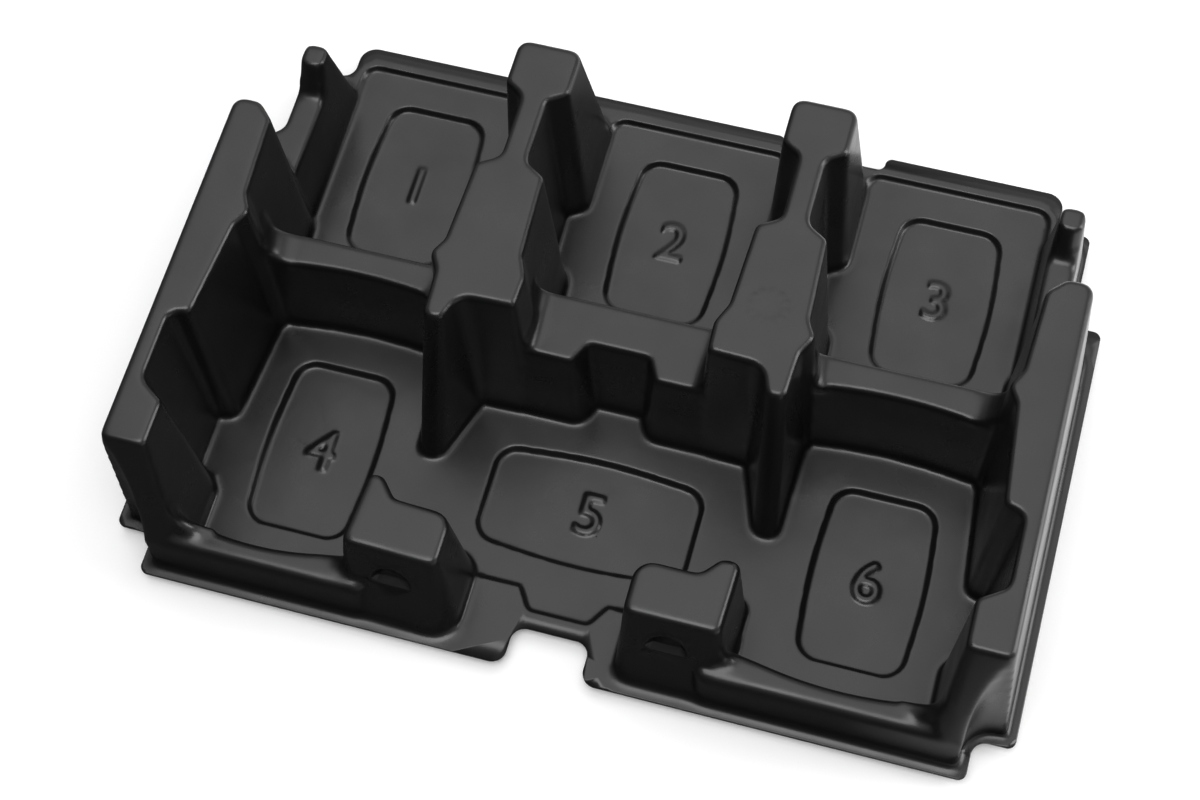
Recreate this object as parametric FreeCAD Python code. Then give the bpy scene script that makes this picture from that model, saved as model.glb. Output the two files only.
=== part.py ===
import FreeCAD, Part

import math
import os
import sys
from types import SimpleNamespace

# Thermoformed tray for a stackable case: one black sheet, drawn over a male mould.
# The sheet is what lies between two skins made by one recipe: the upper skin, and the
# lower skin one sheet thickness under it. Millimetres, +Z up, standing on its sunken panels,
# with the origin under the middle of the flange.

SIZES = [
    # alias, value, what it is
    ("flange_length", 380.0, "flange, left to right"),
    ("flange_width", 270.4, "flange, front to back"),
    ("sheet_thickness", 1.2, "thickness of the formed sheet"),
    ("top_height", 92.5, "top of the dividers and side ledges"),
    ("middle_height", 55.0, "top of the cross walls and front blocks"),
    ("post_height", 57.0, "top of the corner posts"),
    ("low_ledge_height", 41.5, "low ledge in front of each post"),
    ("rim_height", 31.0, "top of the front rims"),
    ("flange_height", 5.0, "upper face of the flange"),
    ("floor_height", 2.8, "upper face of the pocket floors"),
    ("side_draft", 3.2, "degrees, walls inside the tray"),
    ("outer_draft", 4.3, "degrees, outer walls above the flange"),
    ("grip_draft", 4.9, "degrees, front of the middle cross wall"),
    ("end_draft", 14.5, "degrees, sloping ends of ledges, fins, heads and blocks"),
    ("post_draft", 25.0, "degrees, front of the posts"),
    ("flute_draft", 0.5, "degrees, fluted front corners"),
    ("step_draft", 30.0, "degrees, shallow steps down to floors and panels"),
    ("top_round", 2.4, "rounding along the tops"),
    ("block_round", 3.2, "rounding along the tops of the blocks"),
    ("rim_round", 4.5, "rounding along the rims"),
    ("flange_strip", 4.5, "flat flange outside the walls"),
    ("flange_corner", 3.5, "outer corners of the flange"),
    ("notch_corner", 6.0, "inner corners of the flange notches"),
    ("back_corner", 7.5, "back corners of the flange"),
    ("front_notch_length", 16.3, "front corner notch, along X"),
    ("front_notch_width", 17.5, "front corner notch, along Y"),
    ("back_notch_length", 27.4, "back corner notch, along X"),
    ("back_notch_width", 17.7, "back corner notch, along Y"),
    ("back_step_length", 12.9, "how far the flange steps in beside the posts"),
    ("back_step_start", 72.5, "where that step starts, from the middle"),
    ("mouth_half_length", 16.2, "half of the notch in the front edge"),
    ("mouth_depth", 17.2, "depth of the notch in the front edge"),
    ("tail_notch_start", 36.5, "notch behind the right divider, nearer end"),
    ("tail_notch_end", 82.5, "notch behind the right divider, farther end"),
    ("tail_notch_depth", 6.5, "depth of that notch"),
    ("ledge_back", 47.0, "back end of the side ledges"),
    ("ledge_front", 112.5, "front end of the side ledges, from the middle"),
    ("ledge_tip", 168.0, "inner corner of the ledges at their back end"),
    ("ledge_shoulder", 161.0, "inner edge of the ledges beside the back pockets"),
    ("ledge_waist", 159.0, "inner edge where the ledge turns to the cross wall"),
    ("ledge_nose", 154.8, "nose of the ledge over the cross wall"),
    ("ledge_bulge", 162.7, "inner edge beside the front pockets"),
    ("ledge_toe", 160.2, "inner edge at the front end"),
    ("finger_depth", 171.0, "inner edge at the finger recess"),
    ("finger_back", 55.0, "finger recess, back end, from the middle"),
    ("finger_front", 85.0, "finger recess, front end, from the middle"),
    ("finger_slope", 7.3, "how much its front end slopes"),
    ("flute_radius", 13.0, "radius of the fluted front corners"),
    ("low_ledge_flare", 61.5, "where the low ledges flare to the side walls"),
    ("flare_length", 9.0, "length of that flare, along Y"),
    ("divider_place", 58.6, "middle of each divider"),
    ("head_half", 13.6, "half length of the divider heads"),
    ("head_back", 102.2, "back of the divider heads"),
    ("head_front", 81.0, "front of the divider heads"),
    ("neck_half", 5.3, "half length of the necks"),
    ("neck_back", 76.0, "back of the necks"),
    ("neck_front", 46.5, "front of the necks"),
    ("body_half", 14.5, "half length of the bodies at their back end"),
    ("body_back", 41.0, "back of the divider bodies"),
    ("body_swell", 1.7, "how much the bodies widen towards the cross walls"),
    ("nose_reach", 3.9, "reach of the noses over the cross walls"),
    ("nose_back", 4.0, "noses, back end"),
    ("nose_front", 4.0, "tips of the noses, from the middle"),
    ("body_front", 18.8, "front of the divider bodies, from the middle"),
    ("fin_start", 2.9, "inner side of each fin, from the middle of its divider"),
    ("fin_half", 4.0, "half thickness of the fins"),
    ("fin_front", 31.0, "front of the fins, from the middle"),
    ("cross_back", 10.0, "back of the cross walls"),
    ("cross_front", 7.6, "front of the outer cross walls, from the middle"),
    ("cross_bow", 3.3, "how much they bow back"),
    ("middle_front", 19.2, "front of the middle cross wall, from the middle"),
    ("grip_front", 9.4, "back of its finger notch, from the middle"),
    ("grip_half", 12.7, "half length of the finger notch at its back"),
    ("grip_flare", 4.9, "how much the notch widens forward"),
    ("block_front", 117.3, "front of the blocks, from the middle"),
    ("block_back", 94.4, "back of the blocks"),
    ("block_peak", 86.2, "back of the peak on each block"),
    ("right_block_start", 30.6, "right block, side next to the front notch"),
    ("right_block_end", 69.8, "right block, other side"),
    ("left_block_start", 44.6, "left block, side next to the front notch"),
    ("left_block_end", 83.6, "left block, other side"),
    ("block_lean", 7.5, "degrees, side of the left block next to the notch"),
    ("peak_length", 7.0, "length of the peak on each block"),
    ("peak_slope", 7.0, "run of the slope beside the peak"),
    ("rim_back", 111.5, "back of the front rims at their ends"),
    ("rim_bow", 4.8, "how much the rims bow forward"),
    ("post_front", 90.0, "front of the posts"),
    ("post_back", 100.0, "back of the posts"),
    ("post_inner", 160.8, "inner side of the posts"),
    ("post_outer", 171.3, "outer side of the posts"),
    ("column_pitch", 118.4, "from one column of pockets to the next"),
    ("back_panel_place", 72.0, "middle of the back panels"),
    ("front_panel_place", 61.9, "middle of the front panels, from the middle"),
    ("panel_half_length", 21.0, "half of a panel along X, at its ends"),
    ("panel_half_width", 37.9, "half of a panel along Y"),
    ("panel_bulge", 1.5, "bulge of the long sides of a panel"),
    ("panel_corner", 9.0, "corner radius of the panels"),
    ("wide_panel_length", 44.4, "half of the front middle panel along X"),
    ("wide_panel_width", 20.6, "half of it along Y, at its ends"),
    ("wide_panel_bulge", 2.0, "bulge of its long sides"),
    ("floor_back", 125.5, "back of the pocket floors"),
    ("floor_corner", 6.0, "corner radius of the pocket floors"),
    ("floor_front", 99.8, "front of the open middle floor, from the middle"),
    ("tongue_front", 109.3, "front of its tongue, from the middle"),
    ("tongue_half", 12.4, "half length of the tongue"),
    ("tongue_flare", 6.0, "how much the tongue widens backward"),
]

UNDER = -4.0   # both skins reach down past this height, under the tray
BEYOND = 12.0  # how far the skins reach past the flange before it is trimmed
BURIED = 9.0   # how far the end of one form reaches into the next
SLOW = 900.0   # radius of a bend that takes all the length it is given


def make_sheet(doc):
    """The spreadsheet of sizes, one aliased cell for each."""
    sheet = doc.addObject("Spreadsheet::Sheet", "sizes")
    for row, (alias, value, note) in enumerate(SIZES, start=1):
        sheet.set(f"A{row}", alias)
        sheet.set(f"B{row}", str(value))
        sheet.set(f"C{row}", note)
        sheet.setAlias(f"B{row}", alias)
    doc.recompute()
    return sheet


def turn(before, corner, after):
    """Signed turn at a corner, positive to the left."""
    ax, ay = corner[0] - before[0], corner[1] - before[1]
    bx, by = after[0] - corner[0], after[1] - corner[1]
    return math.atan2(ax * by - ay * bx, ax * bx + ay * by)


def outward(start, end):
    """Unit normal on the right of an edge, which is outside an outline drawn anticlockwise."""
    length = math.hypot(end[0] - start[0], end[1] - start[1])
    return (end[1] - start[1]) / length, -(end[0] - start[0]) / length


def shifted(corners, shifts):
    """The outline with each edge moved out; outer rounds grow with it and inner ones shrink."""
    result = []
    for index, corner in enumerate(corners):
        before, after = corners[index - 1], corners[(index + 1) % len(corners)]
        ax, ay = outward(before, corner)
        bx, by = outward(corner, after)
        first, second = shifts[index - 1], shifts[index]
        across = ax * by - ay * bx
        x = corner[0] + (first * by - second * ay) / across
        y = corner[1] + (second * ax - first * bx) / across
        growth = math.copysign(min(abs(first), abs(second)), first)
        radius = corner[2] + math.copysign(growth, growth * turn(before, corner, after))
        result.append((x, y, max(radius, 1.0)))
    return result


def rounded_edges(corners, height):
    """Edges of the outline at one height: an arc at each corner and a line after it."""
    arcs = []
    for index, (x, y, radius) in enumerate(corners):
        before, after = corners[index - 1], corners[(index + 1) % len(corners)]
        half = abs(turn(before, corners[index], after)) / 2
        lengths = [math.hypot(other[0] - x, other[1] - y) for other in (before, after)]
        reach = min(radius * math.tan(half), 0.47 * min(lengths))
        radius = reach / math.tan(half)
        corner = FreeCAD.Vector(x, y, height)
        ends = [corner + (FreeCAD.Vector(other[0], other[1], height) - corner) * (reach / length)
                for other, length in zip((before, after), lengths)]
        inward = ((ends[0] + ends[1]) / 2 - corner).normalize()
        arcs.append((ends[0], corner + inward * (radius / math.cos(half) - radius), ends[1]))
    edges = []
    for index, arc in enumerate(arcs):
        edges.append(Part.Arc(*arc).toShape())
        edges.append(Part.makeLine(arc[2], arcs[(index + 1) % len(arcs)][0]))
    return edges


def round_face(lower, upper):
    """The face between two arcs: a cone where both turn about one upright axis, or a ruled one."""
    drift = lower.Curve.Center - upper.Curve.Center
    if math.hypot(drift.x, drift.y) > 1e-6:
        return Part.makeRuledSurface(lower, upper)
    side = Part.makeLine(lower.Vertexes[0].Point, upper.Vertexes[0].Point)
    sweep = math.degrees(lower.LastParameter - lower.FirstParameter)
    return side.revolve(lower.Curve.Center, lower.Curve.Axis, sweep)


def drafted(low_corners, low, high_corners, high):
    """Solid between two outlines with parallel edges: flat walls, and round ones at the corners."""
    low_edges = rounded_edges(low_corners, low)
    high_edges = rounded_edges(high_corners, high)
    faces = []
    for lower, upper in zip(low_edges, high_edges):
        if isinstance(lower.Curve, Part.Circle):
            faces.append(round_face(lower, upper))
        else:
            ring = [lower.Vertexes[0].Point, lower.Vertexes[1].Point,
                    upper.Vertexes[1].Point, upper.Vertexes[0].Point]
            faces.append(Part.Face(Part.makePolygon(ring + ring[:1])))
    faces.append(Part.Face(Part.Wire(low_edges)))
    faces.append(Part.Face(Part.Wire(high_edges)))
    shell = Part.Shell(faces)
    shell.sewShape()
    solid = Part.Solid(shell)
    if solid.Volume < 0:
        solid = Part.Solid(shell.reversed())
    return solid


def outline_at(corners, drafts, rise, offset):
    """The outline after a rise against its drafts, and moved in by the offset square to its walls."""
    shifts = []
    for draft in drafts:
        angle = math.radians(draft)
        shifts.append(rise * math.tan(angle) - offset / math.cos(angle))
    return shifted(corners, shifts)


def edges_at(solid, height):
    """The edges of a solid that lie at one height."""
    return [edge for edge in solid.Edges
            if all(abs(vertex.Z - height) < 1e-6 for vertex in edge.Vertexes)]


def form(corners, drafts, top, rounding, offset):
    """A raised form of a skin, wider towards its foot, with its top edges rounded."""
    high = top - offset
    low = UNDER - offset
    solid = drafted(outline_at(corners, drafts, top - low, offset), low,
                    outline_at(corners, drafts, offset, offset), high)
    return solid.makeFillet(max(rounding - offset, offset / 3), edges_at(solid, high))


def cut(corners, drafts, bottom, top, offset):
    """A hollow of a skin, wider towards its mouth."""
    return drafted(outline_at(corners, drafts, -offset, -offset), bottom - offset,
                   outline_at(corners, drafts, top - bottom, -offset), top)


def mirrored(corners, drafts):
    """The outline on the other side of the middle, with its drafts in the new order."""
    corners = [(-x, y, radius) for x, y, radius in reversed(corners)]
    drafts = list(reversed(drafts[:-1])) + drafts[-1:]
    return corners, drafts


def both_sides(corners, drafts):
    return [(corners, drafts), mirrored(corners, drafts)]


def rectangle(x_low, x_high, y_low, y_high, radius):
    return [(x_high, y_low, radius), (x_high, y_high, radius), (x_low, y_high, radius), (x_low, y_low, radius)]


def flange_outline(size):
    """The trimmed edge of the sheet, anticlockwise from the front notch."""
    side, end = size.flange_length / 2, size.flange_width / 2
    outer, inner = size.flange_corner, size.notch_corner
    front = [
        (size.mouth_half_length, size.mouth_depth - end, inner),
        (size.mouth_half_length, -end, inner),
        (side - size.front_notch_length, -end, outer),
        (side - size.front_notch_length, size.front_notch_width - end, inner),
        (side, size.front_notch_width - end, outer),
        (side, size.back_step_start, outer),
        (side - size.back_step_length, size.back_step_start, outer),
        (side - size.back_step_length, end - size.back_notch_width, outer),
        (side - size.back_notch_length, end - size.back_notch_width, inner),
        (side - size.back_notch_length, end, size.back_corner),
    ]
    tail = [
        (size.tail_notch_end, end, outer),
        (size.tail_notch_end, end - size.tail_notch_depth, outer),
        (size.tail_notch_start, end - size.tail_notch_depth, outer),
        (size.tail_notch_start, end, outer),
    ]
    return front + tail + [(-x, y, radius) for x, y, radius in reversed(front)]


def side_ledge(size):
    """Right side ledge, from its front outer corner."""
    outer = size.flange_length / 2 - size.flange_strip
    outer -= (size.top_height - size.flange_height) * math.tan(math.radians(size.outer_draft))
    mild, steep = size.side_draft, size.end_draft
    table = [
        (outer, -size.ledge_front, 3, size.outer_draft),
        (outer, size.ledge_back, 5, mild),
        (size.ledge_tip, size.ledge_back, 4, mild),
        (size.ledge_shoulder, size.ledge_back - 7, 4, mild),
        (size.ledge_waist, size.nose_back, 8, mild),
        (size.ledge_nose, -size.nose_front, 4, mild),
        (size.ledge_waist, -size.nose_front - 7, 5, mild),
        (size.ledge_bulge, -size.finger_back + 1.8, 3.2, mild),
        (size.finger_depth, -size.finger_back, 6, mild),
        (size.finger_depth, -size.finger_front, 6, mild),
        (size.ledge_toe, -size.finger_front - size.finger_slope, 3, mild),
        (size.ledge_toe, -size.ledge_front, 3, steep),
    ]
    return [row[:3] for row in table], [row[3] for row in table]


def low_ledge_inner(size):
    """Inner edge of a low ledge at its top, in one plane with the inner side of its post."""
    return size.post_inner - (size.post_height - size.low_ledge_height) * math.tan(math.radians(size.side_draft))


def low_ledge(size):
    """Right low ledge, from inside the side ledge to inside the post."""
    drop = math.tan(math.radians(size.outer_draft))
    side = size.flange_length / 2 - size.flange_strip - (size.low_ledge_height - size.flange_height) * drop
    outer = size.post_outer + (size.post_height - size.low_ledge_height) * drop
    inner = low_ledge_inner(size)
    table = [
        (inner, size.ledge_back - BURIED, 3, size.side_draft),
        (side - 0.4, size.ledge_back - BURIED, 3, size.outer_draft),
        (side - 0.4, size.low_ledge_flare - size.flare_length / 2, 5, size.outer_draft),
        (outer, size.low_ledge_flare + size.flare_length / 2, 6, size.outer_draft),
        (outer, size.post_front + BURIED, 3, size.side_draft),
        (inner, size.post_front + BURIED, 3, size.side_draft),
    ]
    return [row[:3] for row in table], [row[3] for row in table]


def post(size):
    """Right corner post, from its front inner corner."""
    table = [
        (size.post_inner, size.post_front, 4, size.post_draft),
        (size.post_outer, size.post_front, 4, size.outer_draft),
        (size.post_outer, size.post_back, 4, size.end_draft),
        (size.post_inner, size.post_back, 4, size.side_draft),
    ]
    return [row[:3] for row in table], [row[3] for row in table]


def divider(size):
    """Right divider: head, neck, body with its two noses, and fin."""
    place, mild, steep = size.divider_place, size.side_draft, size.end_draft
    head_left, head_right = place - size.head_half, place + size.head_half
    neck_left, neck_right = place - size.neck_half, place + size.neck_half
    body_left, body_right = place - size.body_half, place + size.body_half
    swell, reach = size.body_swell, size.nose_reach
    fin_left = place + size.fin_start + size.fin_half
    fin_right = fin_left + 2 * size.fin_half
    table = [
        (head_right, size.head_back, 5, steep),
        (head_left, size.head_back, 5, mild),
        (head_left, size.head_front, 2.5, mild),
        (neck_left, size.neck_back, 5, mild),
        (neck_left, size.neck_front, 5, mild),
        (body_left, size.body_back, 3, mild),
        (body_left - swell, size.nose_back, 4, mild),
        (body_left - swell - reach, -size.nose_front - 1, 4, mild),
        (body_left - swell - reach + 0.5, -size.body_front, 2, mild),
        (fin_left - size.fin_half, -size.body_front - 0.7, 8, mild),
        (fin_left, -size.fin_front, 3.6, steep),
        (fin_right, -size.fin_front, 3.6, mild),
        (fin_right + 0.3, -size.body_front - 3.2, 4, mild),
        (fin_right + 0.9, -size.nose_front - 7, 5, mild),
        (body_right + swell + reach, -size.nose_front + 1, 3, mild),
        (body_right + swell, size.nose_back, 4, mild),
        (body_right, size.body_back, 3, mild),
        (neck_right, size.neck_front, 6, mild),
        (neck_right, size.neck_back, 6, mild),
        (head_right, size.head_front, 2.5, mild),
    ]
    return [row[:3] for row in table], [row[3] for row in table]


def outer_cross_wall(size):
    """Right cross wall, from inside the divider to inside the side ledge, bowed in front."""
    start = size.divider_place
    end = size.ledge_waist + BURIED
    corners = [
        (start, -size.cross_front, 1),
        ((start + end) / 2, 2 * size.cross_bow - size.cross_front, SLOW),
        (end, -size.cross_front, 1),
        (end, size.cross_back, 1),
        (start, size.cross_back, 1),
    ]
    return corners, [size.side_draft] * len(corners)


def middle_cross_wall(size):
    """Middle cross wall, between the dividers, with its finger notch in front."""
    end = size.divider_place
    notch = size.grip_half
    corners = [
        (-end, -size.middle_front, 1),
        (-notch - size.grip_flare, -size.middle_front, 2.5),
        (-notch, -size.grip_front, 3),
        (notch, -size.grip_front, 3),
        (notch + size.grip_flare, -size.middle_front, 2.5),
        (end, -size.middle_front, 1),
        (end, size.cross_back, 1),
        (-end, size.cross_back, 1),
    ]
    draft, mild = size.grip_draft, size.side_draft
    return corners, [draft] * 5 + [mild] * 3


def right_block(size):
    """Right front block, with its peak at the outer end."""
    start, end = size.right_block_start, size.right_block_end
    mild = size.side_draft
    table = [
        (start, -size.block_front, 4, size.end_draft),
        (end, -size.block_front, 4, mild),
        (end + 1, -size.block_peak, 4, mild),
        (end - size.peak_length, -size.block_peak, 5, mild),
        (end - size.peak_length - size.peak_slope, -size.block_back, 6, mild),
        (start, -size.block_back, 8, mild),
    ]
    return [row[:3] for row in table], [row[3] for row in table]


def left_block(size):
    """Left front block: the same, with a leaning side next to the notch."""
    start, end = -size.left_block_end, -size.left_block_start
    mild = size.side_draft
    table = [
        (start - 1, -size.block_front, 4, size.end_draft),
        (end, -size.block_front - 1, 4, size.block_lean),
        (end, -size.block_back - 1, 8, mild),
        (start + size.peak_length + size.peak_slope, -size.block_back, 5, mild),
        (start + size.peak_length, -size.block_peak, 3, mild),
        (start + 1.4, -size.block_peak, 4, mild),
    ]
    return [row[:3] for row in table], [row[3] for row in table]


def rim(size, start):
    """Right front rim, from inside a block to inside the side ledge, bowed at the back."""
    end = size.ledge_toe + BURIED + 6
    front = size.flange_strip - size.flange_width / 2
    front += (size.rim_height - size.flange_height) * math.tan(math.radians(size.outer_draft))
    corners = [
        (start, front, size.rim_round + 1),
        (end, front, size.rim_round + 1),
        (end, -size.rim_back, size.rim_round + 1),
        ((start + end) / 2, -size.rim_back - 2 * size.rim_bow, SLOW),
        (start, -size.rim_back, size.rim_round + 1),
    ]
    return corners, [size.outer_draft] + [size.side_draft] * 4


def before_front(size):
    """What the front wall leaves out, down to the flange."""
    side, end = size.flange_length / 2 + BEYOND, size.flange_width / 2
    corners = rectangle(-side, side, -end - BEYOND, size.flange_strip - end, 1)
    return corners, [size.outer_draft] * 4


def flute(size):
    """What the fluted right front corner leaves out, down to the flange."""
    side, end = size.flange_length / 2, size.flange_width / 2
    x = side - size.front_notch_length - size.flange_strip
    y = size.front_notch_width - end + size.flange_strip
    corners = [
        (x, -end - BEYOND, 1),
        (side + BEYOND, -end - BEYOND, 1),
        (side + BEYOND, y, 1),
        (x, y, size.flute_radius),
    ]
    return corners, [size.flute_draft] * 4


def floors(size):
    """Outlines of the pocket floors; they reach under the forms, so that only their free steps show."""
    foot = low_ledge_inner(size) - (size.low_ledge_height - size.floor_height) * math.tan(math.radians(size.side_draft))
    spread = (size.top_height - size.floor_height) * math.tan(math.radians(size.side_draft))
    beside = size.divider_place - size.head_half - spread
    past = size.divider_place + size.head_half + spread
    corner = size.floor_corner
    outlines = [
        rectangle(-foot, foot, -size.floor_front, size.head_front + BURIED, corner),
        rectangle(-beside, beside, size.head_front, size.floor_back, corner),
        [
            (size.tongue_half, -size.tongue_front, 3),
            (size.tongue_half + size.tongue_flare, -size.floor_front, 3),
            (size.tongue_half + size.tongue_flare, -size.floor_front + BURIED, 3),
            (-size.tongue_half - size.tongue_flare, -size.floor_front + BURIED, 3),
            (-size.tongue_half - size.tongue_flare, -size.floor_front, 3),
            (-size.tongue_half, -size.tongue_front, 3),
        ],
    ]
    sides = [
        rectangle(past, foot, size.head_front, size.floor_back, corner),
        rectangle(size.left_block_end - BURIED, foot, -size.rim_back - BURIED, -size.floor_front + BURIED, corner),
        rectangle(foot - BURIED, size.finger_depth - 2, -size.finger_front, -size.finger_back, corner),
    ]
    for outline in sides:
        outlines.append(outline)
        outlines.append(mirrored(outline, [0] * len(outline))[0])
    return outlines


def panels(size):
    """Outlines of the six sunken panels, bowed along their long sides."""
    tall = []
    half, end, bulge, corner = size.panel_half_length, size.panel_half_width, size.panel_bulge, size.panel_corner
    places = [(column * size.column_pitch, size.back_panel_place) for column in (-1, 0, 1)]
    places += [(column * size.column_pitch, -size.front_panel_place) for column in (-1, 1)]
    for x, y in places:
        tall.append([
            (x + half, y - end, corner),
            (x + half + 2 * bulge, y, SLOW),
            (x + half, y + end, corner),
            (x - half, y + end, corner),
            (x - half - 2 * bulge, y, SLOW),
            (x - half, y - end, corner),
        ])
    half, end, bulge = size.wide_panel_width, size.wide_panel_length, size.wide_panel_bulge
    y = -size.front_panel_place
    wide = [
        (end, y - half, corner),
        (end, y + half, corner),
        (0, y + half + 2 * bulge, SLOW),
        (-end, y + half, corner),
        (-end, y - half, corner),
        (0, y - half - 2 * bulge, SLOW),
    ]
    return tall + [wide]


def skin(size, offset):
    """Everything under one skin of the sheet: offset 0 for the upper one, the thickness for the lower."""
    length, width = size.flange_length + 2 * BEYOND, size.flange_width + 2 * BEYOND
    low = UNDER - offset
    corner = FreeCAD.Vector(-length / 2, -width / 2, low)
    slab = Part.makeBox(length, width, size.flange_height - offset - low, corner)
    hollows = []
    for outline in floors(size):
        drafts = [size.step_draft] * len(outline)
        hollows.append(cut(outline, drafts, size.floor_height, size.flange_height + 1, offset))
    slab = slab.cut(hollows)
    forms = []
    top, middle = size.top_height, size.middle_height
    front = cut(*before_front(size), size.flange_height, top + BEYOND, offset)
    for corners, drafts in both_sides(*side_ledge(size)):
        forms.append(form(corners, drafts, top, size.top_round, offset).cut(front))
    for corners, drafts in both_sides(*divider(size)):
        forms.append(form(corners, drafts, top, size.top_round, offset))
    for corners, drafts in both_sides(*outer_cross_wall(size)) + [middle_cross_wall(size)]:
        forms.append(form(corners, drafts, middle, size.top_round, offset))
    for corners, drafts in (right_block(size), left_block(size)):
        forms.append(form(corners, drafts, middle, size.block_round, offset))
    for corners, drafts in both_sides(*low_ledge(size)):
        forms.append(form(corners, drafts, size.low_ledge_height, size.top_round, offset))
    for corners, drafts in both_sides(*post(size)):
        forms.append(form(corners, drafts, size.post_height, size.top_round, offset))
    forms.append(form(*rim(size, size.right_block_end - BURIED), size.rim_height, size.rim_round, offset))
    forms.append(form(*mirrored(*rim(size, size.left_block_end - BURIED)), size.rim_height, size.rim_round, offset))
    body = slab.fuse(forms)
    flutes = []
    for corners, drafts in both_sides(*flute(size)):
        flutes.append(cut(corners, drafts, size.flange_height, top + BEYOND, offset))
    sunken = []
    for outline in panels(size):
        drafts = [size.step_draft] * len(outline)
        sunken.append(cut(outline, drafts, size.sheet_thickness, size.floor_height + 1, offset))
    return body.cut(flutes + sunken)


def add_shape(doc, name, shape):
    """A document object that holds a finished shape."""
    item = doc.addObject("Part::Feature", name)
    item.Shape = shape
    item.Placement = FreeCAD.Placement()
    return item


def build():
    doc = FreeCAD.newDocument("tray")
    sheet = make_sheet(doc)
    size = SimpleNamespace(**{alias: float(sheet.get(alias)) for alias, _, _ in SIZES})
    upper = add_shape(doc, "upper_skin", skin(size, 0.0))
    lower = add_shape(doc, "lower_skin", skin(size, size.sheet_thickness))
    reach = UNDER / 2
    edge = Part.Face(Part.Wire(rounded_edges(flange_outline(size), reach)))
    trim = add_shape(doc, "trim", edge.extrude(FreeCAD.Vector(0, 0, size.top_height - reach)))
    blank = doc.addObject("Part::Common", "blank")
    blank.Base = upper
    blank.Tool = trim
    tray = doc.addObject("Part::Cut", "tray")
    tray.Base = blank
    tray.Tool = lower
    tray.Label = "tray"
    tray.Placement = FreeCAD.Placement()
    doc.recompute()
    return doc, tray


def check(doc):
    for item in doc.Objects:
        if "Invalid" in item.State or "Error" in item.State:
            sys.exit(f"{item.Name} failed: {item.State}")
        if hasattr(item, "Shape") and (item.Shape.isNull() or not item.Shape.isValid()):
            sys.exit(f"{item.Name} has no valid shape")


def main():
    doc, tray = build()
    check(doc)
    os.makedirs("parts", exist_ok=True)
    tray.Shape.exportStep(f"parts/{tray.Label}.step")
    print("tray: solids", len(tray.Shape.Solids), "volume", round(tray.Shape.Volume), tray.Shape.BoundBox)


main()
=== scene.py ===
import math
import time

import bmesh
import bpy
import numpy as np
from bpy.props import FloatProperty, FloatVectorProperty, IntProperty, PointerProperty
from bpy.types import Operator, Panel, PropertyGroup
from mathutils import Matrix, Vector


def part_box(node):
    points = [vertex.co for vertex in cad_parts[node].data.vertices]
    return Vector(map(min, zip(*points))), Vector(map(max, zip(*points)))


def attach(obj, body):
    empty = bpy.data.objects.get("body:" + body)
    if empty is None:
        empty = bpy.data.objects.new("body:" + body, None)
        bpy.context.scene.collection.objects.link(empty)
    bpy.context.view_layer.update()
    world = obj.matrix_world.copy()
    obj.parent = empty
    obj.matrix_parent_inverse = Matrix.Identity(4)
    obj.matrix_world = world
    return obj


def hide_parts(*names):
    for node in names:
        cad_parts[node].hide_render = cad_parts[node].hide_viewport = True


bl_info = {
    "name": "Formed tray",
    "version": (1, 0, 0),
    "blender": (4, 5, 0),
    "location": "3D View > Sidebar > Tray",
    "description": "Dresses the packed six-pocket tray as one drawn sheet of black plastic",
    "category": "Object",
}

START = time.time()
MM = 0.001
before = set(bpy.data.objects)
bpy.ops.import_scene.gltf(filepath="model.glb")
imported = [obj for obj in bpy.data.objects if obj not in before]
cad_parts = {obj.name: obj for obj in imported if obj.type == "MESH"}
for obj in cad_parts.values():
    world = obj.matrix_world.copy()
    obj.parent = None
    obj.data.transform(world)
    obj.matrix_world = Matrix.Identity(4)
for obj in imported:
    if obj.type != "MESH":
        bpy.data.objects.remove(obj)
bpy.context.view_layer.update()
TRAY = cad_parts["tray"]
LOW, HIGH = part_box("tray")


class TraySheetSettings(PropertyGroup):
    """Sizes of the drawn sheet."""

    thickness: FloatProperty(
        name="Thickness", description="Thickness of the sheet", default=1.2 * MM, unit="LENGTH", precision=4)
    flange_top: FloatProperty(
        name="Flange top", description="Height of the upper face of the flange", default=5.0 * MM, unit="LENGTH")
    spare: FloatProperty(
        name="Spare", description="Sheet left outside the flange until it is trimmed", default=5.0 * MM, unit="LENGTH")
    voxel: FloatProperty(
        name="Grain of the form", description="Voxel size of the formed skin", default=0.7 * MM, unit="LENGTH",
        precision=4)
    crisp: IntProperty(
        name="Crisp relaxing", description="Smoothing passes over the whole skin, marks and steps too", default=11)
    relax: IntProperty(
        name="Relaxing", description="Smoothing passes that round the drawn corners", default=18)
    blend: IntProperty(
        name="Blending", description="Smoothing passes where one form flows into the next", default=70)
    upper_triangles: IntProperty(
        name="Upper triangles", description="Triangles kept on the upper skin", default=140000)
    under_triangles: IntProperty(
        name="Under triangles", description="Triangles kept on the underside", default=50000)


class TrayMarkSettings(PropertyGroup):
    """Sizes of the raised marks, of the date ring and of the snap pockets."""

    rise: FloatProperty(
        name="Rise", description="Height of the marks over the surface", default=0.75 * MM, unit="LENGTH", precision=4)
    numeral: FloatProperty(
        name="Numeral", description="Text size of the pocket numerals", default=26 * MM, unit="LENGTH")
    ring: FloatProperty(
        name="Ring", description="Radius through the middles of the twelve ticks", default=6.8 * MM, unit="LENGTH")
    tick: FloatProperty(
        name="Tick", description="Length of a tick", default=2.6 * MM, unit="LENGTH")
    snap_half: FloatProperty(
        name="Snap pocket", description="Half length of a half-round snap pocket", default=8.8 * MM, unit="LENGTH")
    snap_rise: FloatProperty(
        name="Snap rise", description="Height of a snap pocket", default=10.4 * MM, unit="LENGTH")
    snap_depth: FloatProperty(
        name="Snap depth", description="Depth of a snap pocket at its sill", default=2.6 * MM, unit="LENGTH")


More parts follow.
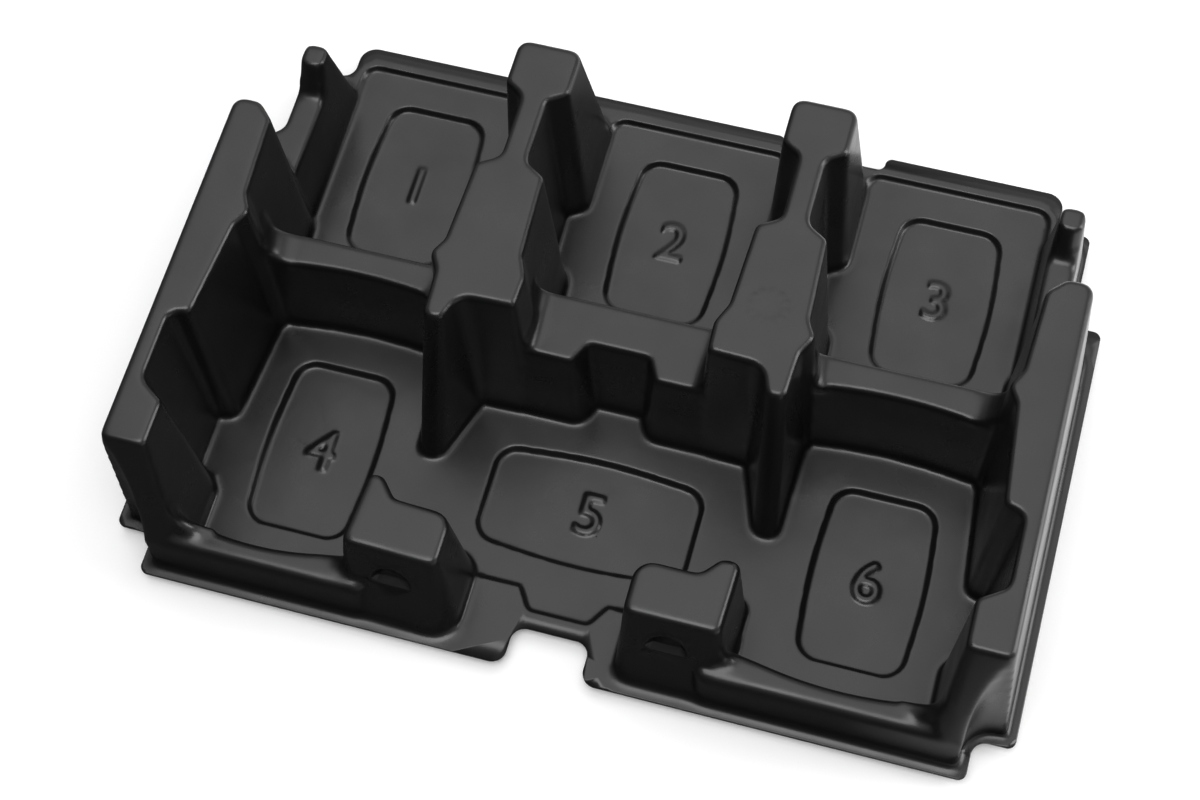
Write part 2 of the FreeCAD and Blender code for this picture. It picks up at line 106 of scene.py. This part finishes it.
class TrayFinishSettings(PropertyGroup):
    """Colours of the sheet and of the stage."""

    black: FloatVectorProperty(
        name="Sheet", description="Colour of the plastic", default=(0.0058, 0.0058, 0.0061), subtype="COLOR")
    roughness: FloatProperty(
        name="Roughness", description="Roughness of the plastic", default=0.3, subtype="FACTOR")
    floor: FloatVectorProperty(
        name="Floor", description="Colour of the floor", default=(0.9, 0.9, 0.9), subtype="COLOR")


def sizes():
    return bpy.context.scene.tray_sheet


def marks():
    return bpy.context.scene.tray_marks


def finish():
    return bpy.context.scene.tray_finish


def deselect_all():
    if bpy.context.object and bpy.context.object.mode != "OBJECT":
        bpy.ops.object.mode_set(mode="OBJECT")
    bpy.ops.object.select_all(action="DESELECT")


def make_active(piece):
    deselect_all()
    piece.select_set(True)
    bpy.context.view_layer.objects.active = piece


def new_object(name, bm):
    mesh = bpy.data.meshes.new(name)
    bm.to_mesh(mesh)
    bm.free()
    piece = bpy.data.objects.new(name, mesh)
    bpy.context.scene.collection.objects.link(piece)
    return piece


def apply_modifier(piece, name, kind, **values):
    """Adds a modifier, sets its values and applies it."""
    make_active(piece)
    modifier = piece.modifiers.new(name, kind)
    for key, value in values.items():
        setattr(modifier, key, value)
    bpy.ops.object.modifier_apply(modifier=modifier.name)


def upper_skin():
    """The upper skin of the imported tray, as one open surface: all that the trimmed edge parts from the rest."""
    bm = bmesh.new()
    bm.from_mesh(TRAY.data)
    bmesh.ops.remove_doubles(bm, verts=bm.verts, dist=0.004 * MM)
    bm.normal_update()
    top, low = sizes().flange_top, sizes().flange_top - sizes().thickness
    rim = []
    for face in bm.faces:
        heights = [vert.co.z for vert in face.verts]
        if abs(face.normal.z) < 0.02 and min(heights) > low - 0.02 * MM and max(heights) < top + 0.02 * MM:
            rim.append(face)
    bmesh.ops.delete(bm, geom=rim, context="FACES")
    start = max(bm.faces, key=lambda face: (face.calc_center_median().z, face.normal.z))
    found, edge_of = {start}, [start]
    while edge_of:
        for edge in edge_of.pop().edges:
            for face in edge.link_faces:
                if face not in found:
                    found.add(face)
                    edge_of.append(face)
    bmesh.ops.delete(bm, geom=[face for face in bm.faces if face not in found], context="FACES")
    return bm


def boundary_loops(bm):
    """Closed runs of open edges, the longest first."""
    rest = {edge for edge in bm.edges if edge.is_boundary}
    loops = []
    while rest:
        edge = rest.pop()
        loop = [edge.verts[0], edge.verts[1]]
        while loop[-1] is not loop[0]:
            ahead = [other for other in loop[-1].link_edges if other in rest]
            if not ahead:
                break
            rest.discard(ahead[0])
            loop.append(ahead[0].other_vert(loop[-1]))
        loops.append(loop[:-1])
    return sorted(loops, key=len, reverse=True)


def flat_area(loop):
    """Signed area of a loop in plan, positive when it runs anticlockwise."""
    return sum(a.co.x * b.co.y - b.co.x * a.co.y for a, b in zip(loop, loop[1:] + loop[:1])) / 2


def spread_boundary(bm, loop, distance):
    """Widens an open surface by a flat strip outside its boundary loop, and returns the new loop."""
    if flat_area(loop) < 0:
        loop = loop[::-1]
    outer = []
    for index, vert in enumerate(loop):
        back = (vert.co - loop[index - 1].co).normalized()
        ahead = (loop[(index + 1) % len(loop)].co - vert.co).normalized()
        run = (back + ahead).normalized()
        outer.append(bm.verts.new(vert.co + distance * Vector((run.y, -run.x, 0))))
    for index in range(len(loop)):
        after = (index + 1) % len(loop)
        bm.faces.new((loop[index], outer[index], outer[after], loop[after]))
    return outer


def drop_to(bm, loop, height):
    """Walls from a loop straight down to a height, closed by one flat face."""
    low = [bm.verts.new((vert.co.x, vert.co.y, height)) for vert in loop]
    for index in range(len(loop)):
        after = (index + 1) % len(loop)
        bm.faces.new((loop[index], low[index], low[after], loop[after]))
    bm.faces.new(low[::-1])


def trim_block(loop):
    """A block over the trimmed outline of the flange, taller than the tray."""
    bm = bmesh.new()
    base = [bm.verts.new((x, y, -3 * MM)) for x, y in loop]
    lid = bm.faces.new(base)
    lifted = bmesh.ops.extrude_face_region(bm, geom=[lid])
    tops = [item for item in lifted["geom"] if isinstance(item, bmesh.types.BMVert)]
    bmesh.ops.translate(bm, verts=tops, vec=(0, 0, HIGH.z + 6 * MM))
    bmesh.ops.recalc_face_normals(bm, faces=bm.faces)
    return new_object("trim_block", bm)


def saddle(first, second, run, top, rounding):
    """A hollow ramp from a level top up to a wall. Each station is (x, y, radius) where the ramp starts, in mm."""
    bm = bmesh.new()
    rings = []
    for x, y, radius in (first, second):
        points = []
        for step in range(13):
            angle = math.radians(7.5 * step)
            points.append((radius * math.sin(angle), top + radius * (1 - math.cos(angle))))
        points += [(radius + 4, top + radius), (radius + 4, top - 6), (0, top - 6)]
        rings.append([bm.verts.new((MM * (x + run[0] * out), MM * (y + run[1] * out), MM * z)) for out, z in points])
    for index in range(len(rings[0])):
        after = (index + 1) % len(rings[0])
        bm.faces.new((rings[0][index], rings[0][after], rings[1][after], rings[1][index]))
    for ring in rings:
        bm.faces.new(ring)
    bmesh.ops.recalc_face_normals(bm, faces=bm.faces)
    piece = new_object("saddle", bm)
    apply_modifier(piece, "Round", "BEVEL", width=rounding * MM, segments=3, angle_limit=math.radians(50))
    return piece


def saddles():
    """The ramps where tops run into higher walls, on both sides of the tray."""
    pieces = []
    for side in (1, -1):
        out, back = (side, 0), (-side, 0)
        pieces += [
            saddle((side * 142.4, -5.2, 11), (side * 142.4, 9.4, 15), out, 55, 2.2),
            saddle((side * 84.6, -5.8, 5), (side * 84.6, 9.4, 8), back, 55, 2.2),
            saddle((side * 31.6, -18.0, 5), (side * 31.6, 9.4, 8.8), out, 55, 2.2),
            saddle((side * 141.0, -122.8, 16), (side * 141.0, -116.6, 16), out, 30.8, 2.5),
            saddle((side * 160.4, 79.4, 6), (side * 172.0, 79.4, 6), (0, 1), 41.5, 2),
        ]
    pieces.append(saddle((79.6, -120.4, 8), (79.6, -116.2, 8), (-1, 0), 30.8, 2))
    pieces.append(saddle((-93.4, -120.4, 8), (-93.4, -116.2, 8), (1, 0), 30.8, 2))
    return pieces


def post_caps():
    """Square caps that keep the tops of the corner posts flat behind their rounded fronts."""
    pieces = []
    for side in (1, -1):
        deselect_all()
        bpy.ops.mesh.primitive_cube_add(size=1)
        cap = bpy.context.object
        cap.scale = (9.4 * MM, 6.4 * MM, 10 * MM)
        cap.location = (side * 166.1 * MM, 96.4 * MM, 52 * MM)
        bpy.ops.object.transform_apply(location=True, rotation=True, scale=True)
        apply_modifier(cap, "Round", "BEVEL", width=1.2 * MM, segments=2)
        pieces.append(cap)
    return pieces


def numerals():
    """One plain raised numeral on each sunken panel, from 1 at the back left to 6 at the front right."""
    pieces = []
    for index in range(6):
        deselect_all()
        x = (index % 3 - 1) * 118.4 * MM
        y = (72.0 if index < 3 else -62.5) * MM
        bpy.ops.object.text_add(location=(0, 0, 0))
        text = bpy.context.object
        text.data.body = str(index + 1)
        text.data.size = marks().numeral
        text.data.align_x = "CENTER"
        text.data.align_y = "CENTER"
        text.data.extrude = 2 * MM
        bpy.ops.object.convert(target="MESH")
        piece = bpy.context.object
        piece.location = (x, y, 1.2 * MM + marks().rise - 2 * MM)
        bpy.ops.object.transform_apply(location=True, rotation=True, scale=True)
        pieces.append(piece)
    return pieces


def date_ring():
    """Twelve plain ticks in a ring on the right divider."""
    pieces = []
    rise, height = marks().rise, 4 * MM
    for index in range(12):
        angle = math.radians(30 * index)
        deselect_all()
        bpy.ops.mesh.primitive_cube_add(size=1)
        tick = bpy.context.object
        tick.scale = (marks().tick, 1.1 * MM, height)
        tick.rotation_euler = (0, 0, angle)
        tick.location = (
            57.8 * MM + marks().ring * math.cos(angle),
            5.2 * MM + marks().ring * math.sin(angle),
            92.3 * MM + rise - height / 2)
        bpy.ops.object.transform_apply(location=True, rotation=True, scale=True)
        pieces.append(tick)
    return pieces


def skin_points(piece):
    """The vertices of a piece as rows of x, y, z in mm."""
    points = np.empty(3 * len(piece.data.vertices))
    piece.data.vertices.foreach_get("co", points)
    return points.reshape(-1, 3) / MM


def soft_group(piece):
    """Weights for the relaxing: full at wall feet, less along tops, none on shallow steps and marks."""
    points = skin_points(piece)
    cells = np.floor(points[:, :2] / 2.0).astype(int) + 120
    walls = np.zeros((260, 260), bool)
    high = points[:, 2] > 6.5
    walls[cells[high, 0], cells[high, 1]] = True
    near = walls.copy()
    for x in range(-2, 3):
        for y in range(-2, 3):
            near |= np.roll(np.roll(walls, x, 0), y, 1)
    beside = near[cells[:, 0], cells[:, 1]]
    crisp = (points[:, 2] < 5.4) & ~beside
    crisp |= (points[:, 2] > 92.2) & (np.hypot(points[:, 0] - 57.8, points[:, 1] - 5.2) < 10)
    crisp |= (points[:, 2] > 50) & (points[:, 2] < 60) & (np.abs(points[:, 0]) > 155) & (points[:, 1] > 91)
    half = points[:, 2] > 26
    group = piece.vertex_groups.new(name="soft")
    full = np.flatnonzero(~crisp & ~half)
    group.add(full.tolist(), 1.0, "REPLACE")
    group.add(np.flatnonzero(~crisp & half).tolist(), 0.55, "REPLACE")
    return group


BLENDS = [
    # x, y, z, reach in mm: where one drawn form flows into the next
    (157, -122, 38, 17),
    (152, 2, 60, 13),
    (82, 2, 58, 8),
    (34, -8, 57, 8),
    (166, 82, 45, 8),
]
BLOCK_BLENDS = [(75, -120, 34, 10), (-89, -120, 34, 10)]


def blend_group(piece):
    """Weights for the long blends between forms, falling off around each place."""
    points = skin_points(piece)
    weight = np.zeros(len(points))
    places = BLENDS + [(-x, y, z, reach) for x, y, z, reach in BLENDS] + BLOCK_BLENDS
    for x, y, z, reach in places:
        away = np.linalg.norm(points - (x, y, z), axis=1) / reach
        weight = np.maximum(weight, np.clip(1.3 * (1 - away ** 2), 0, 1))
    foot = (points[:, 1] < -124) & (points[:, 1] > -134.4) & (points[:, 2] > 4) & (points[:, 2] < 14)
    weight[foot] = 1
    group = piece.vertex_groups.new(name="blend")
    for level in range(1, 11):
        chosen = np.flatnonzero(np.ceil(weight * 10) == level)
        group.add(chosen.tolist(), level / 10, "REPLACE")
    return group


def deepen_steps(piece):
    """Sets the levels of panels, floors and flange a little further apart, as the drawn sheet has them."""
    points = skin_points(piece)
    points[:, 2] = np.interp(points[:, 2], [-10, 1.2, 2.8, 5.0, 18, 200], [-10, 1.2, 4.0, 6.7, 18, 200])
    piece.data.vertices.foreach_set("co", (points * MM).ravel())
    piece.data.update()


def press_snaps(piece):
    """Presses the half-round snap pockets into the fronts of the two blocks."""
    points = skin_points(piece)
    half, rise, depth = marks().snap_half / MM, marks().snap_rise / MM, marks().snap_depth / MM
    lean = math.radians(14.5)
    for middle in (-63.6, 49.4):
        across = (points[:, 0] - middle) / half
        up = (points[:, 2] - 35.0) / (rise * math.cos(lean))
        front = -117.3 - (55.0 - points[:, 2]) * math.tan(lean)
        on_face = np.abs(points[:, 1] - front) < 1.5
        inside = on_face & (np.abs(across) < 1) & (up > 0) & (up < 1)
        edge = 1 - np.sqrt(across ** 2 + np.clip(up, 0, None) ** 2)
        press = depth * np.clip(edge * 3.2, 0, 1) * inside
        lip = on_face & (up > -0.1) & (up < 1.2) & (np.abs(edge * half) < 0.9)
        sill = on_face & (np.abs(across) < 1.05) & (np.abs(up * rise + 0.7) < 0.7)
        press -= 0.6 * (lip | sill)
        points[:, 1] += press * math.cos(lean)
        points[:, 2] -= press * math.sin(lean)
    piece.data.vertices.foreach_set("co", (points * MM).ravel())
    piece.data.update()


class TRAY_OT_sheet(Operator):
    """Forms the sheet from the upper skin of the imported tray: softened, trimmed and given its thickness"""

    bl_idname = "tray.sheet"
    bl_label = "Form the sheet"

    def execute(self, context):
        values = sizes()
        bm = upper_skin()
        loop = boundary_loops(bm)[0]
        outline = [(vert.co.x, vert.co.y) for vert in loop]
        if flat_area(loop) < 0:
            outline.reverse()
        drop_to(bm, spread_boundary(bm, loop, values.spare), -3 * MM)
        bmesh.ops.recalc_face_normals(bm, faces=bm.faces)
        sheet = new_object("tray_sheet", bm)
        additions = saddles() + post_caps() + numerals() + date_ring()
        make_active(sheet)
        for piece in additions:
            piece.select_set(True)
        bpy.ops.object.join()
        apply_modifier(sheet, "Form", "REMESH", mode="VOXEL", voxel_size=values.voxel)
        print("formed", len(sheet.data.polygons), time.time() - START)
        apply_modifier(sheet, "Crisp", "SMOOTH", factor=0.5, iterations=values.crisp)
        soft_group(sheet)
        apply_modifier(sheet, "Relax", "SMOOTH", factor=0.5, iterations=values.relax, vertex_group="soft")
        blend_group(sheet)
        apply_modifier(sheet, "Blend", "SMOOTH", factor=0.5, iterations=values.blend, vertex_group="blend")
        press_snaps(sheet)
        deepen_steps(sheet)
        print("relaxed", time.time() - START)
        ratio = 1.08 * values.upper_triangles / (2 * len(sheet.data.polygons))
        apply_modifier(sheet, "Thin out", "DECIMATE", ratio=min(ratio, 1.0))
        print("thinned", len(sheet.data.polygons), time.time() - START)
        sheet.vertex_groups.clear()
        block = trim_block(outline)
        apply_modifier(sheet, "Trim", "BOOLEAN", operation="INTERSECT", object=block, solver="EXACT")
        bpy.data.objects.remove(block)
        bm = bmesh.new()
        bm.from_mesh(sheet.data)
        bm.normal_update()
        cut = [face for face in bm.faces if min(v.co.z for v in face.verts) < -1 * MM]
        bmesh.ops.delete(bm, geom=cut, context="FACES")
        bmesh.ops.triangulate(bm, faces=bm.faces)
        bm.to_mesh(sheet.data)
        bm.free()
        print("open skin", len(sheet.data.polygons), time.time() - START)
        upper = len(sheet.data.polygons)
        under = sheet.vertex_groups.new(name="under")
        apply_modifier(sheet, "Thickness", "SOLIDIFY", thickness=values.thickness, offset=-1.0,
                       shell_vertex_group="under")
        kept = (upper + values.under_triangles) / sum(len(face.vertices) - 2 for face in sheet.data.polygons)
        apply_modifier(sheet, "Thin underside", "DECIMATE", ratio=min(kept, 1.0), vertex_group="under")
        print("solid", len(sheet.data.polygons), time.time() - START)
        sheet.vertex_groups.clear()
        make_active(sheet)
        bpy.ops.object.shade_smooth()
        sheet.data.materials.append(black_plastic())
        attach(sheet, "root")
        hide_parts("tray")
        return {"FINISHED"}


def material_tree(name):
    """A new material with an empty tree, its Principled shader and its output."""
    material = bpy.data.materials.new(name)
    material.use_nodes = True
    tree = material.node_tree
    shader = next(node for node in tree.nodes if node.type == "BSDF_PRINCIPLED")
    return material, tree, shader


def black_plastic():
    """Satin black sheet: a fine grain, faint draw marks and a slightly uneven sheen."""
    material, tree, shader = material_tree("black_plastic")
    nodes, links = tree.nodes, tree.links
    values = finish()
    shader.inputs["Base Color"].default_value = (*values.black, 1)
    shader.inputs["Roughness"].default_value = values.roughness
    shader.inputs["IOR"].default_value = 1.5
    place = nodes.new("ShaderNodeTexCoord")
    patches = nodes.new("ShaderNodeTexNoise")
    patches.inputs["Scale"].default_value = 38
    patches.inputs["Detail"].default_value = 4
    links.new(place.outputs["Object"], patches.inputs["Vector"])
    sheen = nodes.new("ShaderNodeMapRange")
    sheen.inputs["From Min"].default_value = 0.3
    sheen.inputs["From Max"].default_value = 0.7
    sheen.inputs["To Min"].default_value = values.roughness - 0.05
    sheen.inputs["To Max"].default_value = values.roughness + 0.07
    links.new(patches.outputs["Fac"], sheen.inputs["Value"])
    links.new(sheen.outputs["Result"], shader.inputs["Roughness"])
    stretch = nodes.new("ShaderNodeMapping")
    stretch.inputs["Scale"].default_value = (1, 1, 0.15)
    links.new(place.outputs["Object"], stretch.inputs["Vector"])
    draw = nodes.new("ShaderNodeTexNoise")
    draw.inputs["Scale"].default_value = 90
    draw.inputs["Detail"].default_value = 5
    links.new(stretch.outputs["Vector"], draw.inputs["Vector"])
    waves = nodes.new("ShaderNodeBump")
    waves.inputs["Strength"].default_value = 0.35
    waves.inputs["Distance"].default_value = 0.25 * MM
    links.new(draw.outputs["Fac"], waves.inputs["Height"])
    grain = nodes.new("ShaderNodeTexNoise")
    grain.inputs["Scale"].default_value = 1400
    grain.inputs["Detail"].default_value = 3
    links.new(place.outputs["Object"], grain.inputs["Vector"])
    bump = nodes.new("ShaderNodeBump")
    bump.inputs["Strength"].default_value = 0.15
    bump.inputs["Distance"].default_value = 0.12 * MM
    links.new(grain.outputs["Fac"], bump.inputs["Height"])
    links.new(waves.outputs["Normal"], bump.inputs["Normal"])
    links.new(bump.outputs["Normal"], shader.inputs["Normal"])
    return material


class TRAY_OT_stage(Operator):
    """Lays the pale floor, which shows glossy rays a painted reflection, and sets the lamps, the world and the camera
    """

    bl_idname = "tray.stage"
    bl_label = "Set the stage"

    def execute(self, context):
        self.floor()
        self.world()
        self.lamps()
        self.camera(context)
        return {"FINISHED"}

    def floor(self):
        deselect_all()
        bpy.ops.mesh.primitive_plane_add(size=8, location=(0, 0, 0))
        floor = bpy.context.object
        floor.name = "floor"
        material, tree, shader = material_tree("pale_floor")
        shader.inputs["Base Color"].default_value = (*finish().floor, 1)
        shader.inputs["Roughness"].default_value = 0.9
        shader.inputs["Specular IOR Level"].default_value = 0.1
        nodes, links = tree.nodes, tree.links
        # Painted reflection: glossy rays see the floor as a glowing card, dark at the front and up to 1.5 bright
        # towards the right and back, which paints highlights and reflections onto the black sheet.
        path = nodes.new("ShaderNodeLightPath")
        place = nodes.new("ShaderNodeTexCoord")
        lean = nodes.new("ShaderNodeVectorMath")
        lean.operation = "DOT_PRODUCT"
        lean.inputs[1].default_value = (1, 0.5, 0)
        links.new(place.outputs["Object"], lean.inputs[0])
        lift = nodes.new("ShaderNodeMapRange")
        lift.inputs["From Min"].default_value = 0.05
        lift.inputs["From Max"].default_value = 0.24
        lift.inputs["To Min"].default_value = 0.06
        lift.inputs["To Max"].default_value = 1.5
        links.new(lean.outputs["Value"], lift.inputs[0])
        painted_reflection = nodes.new("ShaderNodeEmission")
        links.new(lift.outputs[0], painted_reflection.inputs["Strength"])
        shine = nodes.new("ShaderNodeMixShader")
        links.new(path.outputs["Is Glossy Ray"], shine.inputs[0])
        links.new(shader.outputs[0], shine.inputs[1])
        links.new(painted_reflection.outputs[0], shine.inputs[2])
        glow = nodes.new("ShaderNodeEmission")
        links.new(path.outputs["Is Camera Ray"], glow.inputs["Strength"])
        glow.inputs["Color"].default_value = (0.09, 0.09, 0.09, 1)
        total = nodes.new("ShaderNodeAddShader")
        links.new(shine.outputs[0], total.inputs[0])
        links.new(glow.outputs[0], total.inputs[1])
        output = next(node for node in nodes if node.type == "OUTPUT_MATERIAL")
        links.new(total.outputs[0], output.inputs["Surface"])
        floor.data.materials.append(material)

    def world(self):
        world = bpy.data.worlds.new("studio")
        bpy.context.scene.world = world
        world.use_nodes = True
        nodes, links = world.node_tree.nodes, world.node_tree.links
        studio = nodes["Background"]
        place = nodes.new("ShaderNodeTexCoord")
        lean = nodes.new("ShaderNodeVectorMath")
        lean.operation = "DOT_PRODUCT"
        lean.inputs[1].default_value = (0.2, 0.3, 0.25)
        links.new(place.outputs["Generated"], lean.inputs[0])
        lift = nodes.new("ShaderNodeMath")
        lift.operation = "ADD"
        lift.use_clamp = True
        lift.inputs[1].default_value = 0.3
        links.new(lean.outputs["Value"], lift.inputs[0])
        links.new(lift.outputs[0], studio.inputs["Strength"])
        studio.inputs["Color"].default_value = (1, 1, 1, 1)
        white = nodes.new("ShaderNodeBackground")
        white.inputs["Color"].default_value = (1, 1, 1, 1)
        path = nodes.new("ShaderNodeLightPath")
        mix = nodes.new("ShaderNodeMixShader")
        links.new(path.outputs["Is Camera Ray"], mix.inputs[0])
        links.new(studio.outputs[0], mix.inputs[1])
        links.new(white.outputs[0], mix.inputs[2])
        links.new(mix.outputs[0], nodes["World Output"].inputs["Surface"])

    def lamps(self):
        lamps = [
            ("back overhead", (-0.2, 0.7, 1.7), (1.7, 1.3), 9),
            ("front overhead", (0.0, -0.45, 1.6), (1.2, 0.8), 15),
            ("right strip", (1.3, 0.35, 0.5), (0.5, 1.4), 12),
        ]
        for name, place, size, power in lamps:
            data = bpy.data.lights.new(name, "AREA")
            data.shape = "RECTANGLE"
            data.size, data.size_y = size
            data.energy = power
            lamp = bpy.data.objects.new(name, data)
            lamp.location = place
            lamp.rotation_euler = (-Vector(place)).to_track_quat("-Z", "Y").to_euler()
            bpy.context.scene.collection.objects.link(lamp)

    def camera(self, context):
        data = bpy.data.cameras.new("camera")
        data.lens = 69.68
        data.sensor_width = 36
        camera = bpy.data.objects.new("camera", data)
        camera.location = (0.13673, -0.41084, 0.8989)
        right = Vector((0.96283, 0.26740, -0.03802))
        up = Vector((-0.22603, 0.87478, 0.42858))
        back = Vector((0.14786, -0.40406, 0.90270))
        turn = camera.matrix_world.to_3x3()
        turn.col[0], turn.col[1], turn.col[2] = right, up, back
        camera.rotation_euler = turn.to_euler()
        context.scene.collection.objects.link(camera)
        context.scene.camera = camera
        context.scene.view_settings.view_transform = "Standard"


class TRAY_PT_pieces(Panel):
    """The pieces of the tray, in the order they are made"""

    bl_label = "Formed tray"
    bl_idname = "TRAY_PT_pieces"
    bl_space_type = "VIEW_3D"
    bl_region_type = "UI"
    bl_category = "Tray"

    def draw(self, context):
        for kind in STEPS:
            self.layout.operator(kind.bl_idname)


STEPS = [TRAY_OT_stage, TRAY_OT_sheet]
CLASSES = [TraySheetSettings, TrayMarkSettings, TrayFinishSettings, *STEPS, TRAY_PT_pieces]


def register():
    for kind in CLASSES:
        bpy.utils.register_class(kind)
    bpy.types.Scene.tray_sheet = PointerProperty(type=TraySheetSettings)
    bpy.types.Scene.tray_marks = PointerProperty(type=TrayMarkSettings)
    bpy.types.Scene.tray_finish = PointerProperty(type=TrayFinishSettings)


def unregister():
    del bpy.types.Scene.tray_finish
    del bpy.types.Scene.tray_marks
    del bpy.types.Scene.tray_sheet
    for kind in reversed(CLASSES):
        bpy.utils.unregister_class(kind)


def main():
    register()
    bpy.ops.tray.stage()
    bpy.ops.tray.sheet()


if __name__ == "__main__":
    main()
